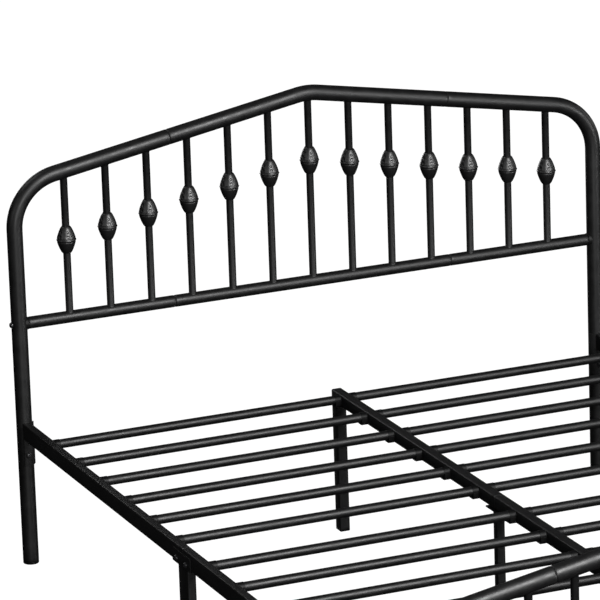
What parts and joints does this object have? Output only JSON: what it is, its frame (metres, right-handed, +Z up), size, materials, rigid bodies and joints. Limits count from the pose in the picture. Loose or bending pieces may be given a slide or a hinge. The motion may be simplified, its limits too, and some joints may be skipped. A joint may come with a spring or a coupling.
{
  "type": "metal platform bed frame",
  "caption": "Black metal platform bed frame with gable-topped spindle headboard and footboard, round slats over side and centre rails, and support legs.",
  "frame": {"origin": "on the floor under the middle of the bed", "axes": "+X across the bed to the right as seen from the foot, +Y from the footboard to the headboard, +Z up"},
  "size_m": [1.553, 2.112, 1.0764],
  "materials": {
    "black_tube": "semi-gloss black powder coat on round and rectangular steel tube",
    "black_casting": "semi-gloss black powder coat on spindles with cast collars",
    "black_plastic": "matt black moulded plastic glides and spacers"
  },
  "bodies": {
    "root": {"headboard_post_left": "black_tube", "headboard_rack_left": "black_casting", "headboard_saddle_left": "black_plastic", "headboard_glide_left": "black_plastic", "headboard_post_right": "black_tube", "headboard_rack_right": "black_casting", "headboard_saddle_right": "black_plastic", "headboard_glide_right": "black_plastic", "headboard_top_middle": "black_tube", "headboard_rack_middle": "black_casting", "footboard_post_left": "black_tube", "footboard_rack_left": "black_casting", "footboard_saddle_left": "black_plastic", "footboard_glide_left": "black_plastic", "footboard_post_right": "black_tube", "footboard_rack_right": "black_casting", "footboard_saddle_right": "black_plastic", "footboard_glide_right": "black_plastic", "footboard_top_middle": "black_tube", "footboard_rack_middle": "black_casting", "side_rail_left_head": "black_tube", "side_rail_right_head": "black_tube", "center_rail_head": "black_tube", "side_rail_left_foot": "black_tube", "side_rail_right_foot": "black_tube", "center_rail_foot": "black_tube", "slat_01_left": "black_tube", "slat_01_right": "black_tube", "slat_02_left": "black_tube", "slat_02_right": "black_tube", "slat_03_left": "black_tube", "slat_03_right": "black_tube", "slat_04_left": "black_tube", "slat_04_right": "black_tube", "slat_05_left": "black_tube", "slat_05_right": "black_tube", "slat_06_left": "black_tube", "slat_06_right": "black_tube", "slat_07_left": "black_tube", "slat_07_right": "black_tube", "slat_08_left": "black_tube", "slat_08_right": "black_tube", "slat_09_left": "black_tube", "slat_09_right": "black_tube", "slat_10_left": "black_tube", "slat_10_right": "black_tube", "slat_11_left": "black_tube", "slat_11_right": "black_tube", "slat_12_left": "black_tube", "slat_12_right": "black_tube", "side_leg_left": "black_tube", "side_leg_glide_left": "black_plastic", "side_leg_right": "black_tube", "side_leg_glide_right": "black_plastic", "center_leg_head": "black_tube", "center_leg_glide_head": "black_plastic", "center_leg_middle": "black_tube", "center_leg_glide_middle": "black_plastic", "center_leg_foot": "black_tube", "center_leg_glide_foot": "black_plastic"}
  },
  "joints": []
}
